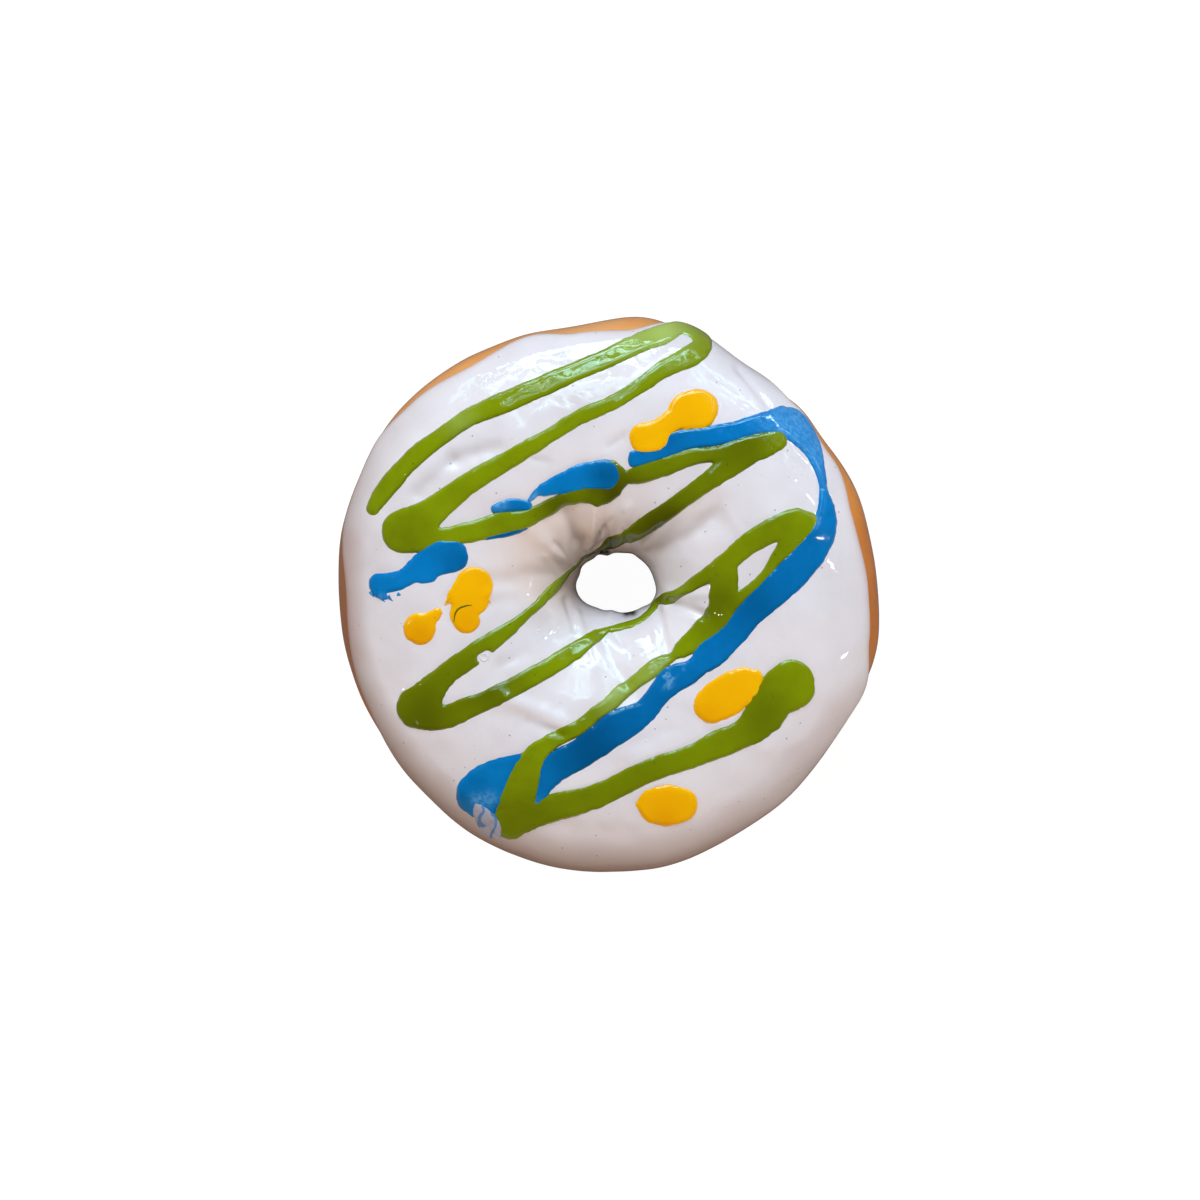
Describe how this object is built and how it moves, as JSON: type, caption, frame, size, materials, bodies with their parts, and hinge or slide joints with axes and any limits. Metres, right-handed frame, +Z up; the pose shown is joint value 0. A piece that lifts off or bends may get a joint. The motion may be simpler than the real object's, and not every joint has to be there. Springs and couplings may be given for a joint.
{
  "type": "drizzled frosted ring doughnut",
  "caption": "Life-size ring doughnut with a poured white icing coat, green and blue drizzle lines and yellow dabs under a gloss clear coat.",
  "frame": {"origin": "bottom centre of the doughnut's bounding box, on the surface that it rests on", "axes": "+Z up through the hole, the iced side up; +X to the right and +Y to the top of the picture"},
  "size_m": [0.0974, 0.0999, 0.0349],
  "materials": {
    "dough": "golden brown fried dough under a gloss clear coat",
    "icing": "white icing, high gloss, wet look",
    "green_drizzle": "olive green glaze, high gloss",
    "blue_drizzle": "mid blue glaze, high gloss",
    "yellow_dabs": "warm yellow glaze, high gloss"
  },
  "bodies": {
    "root": {"dough": "dough", "icing": "icing"}
  },
  "joints": []
}
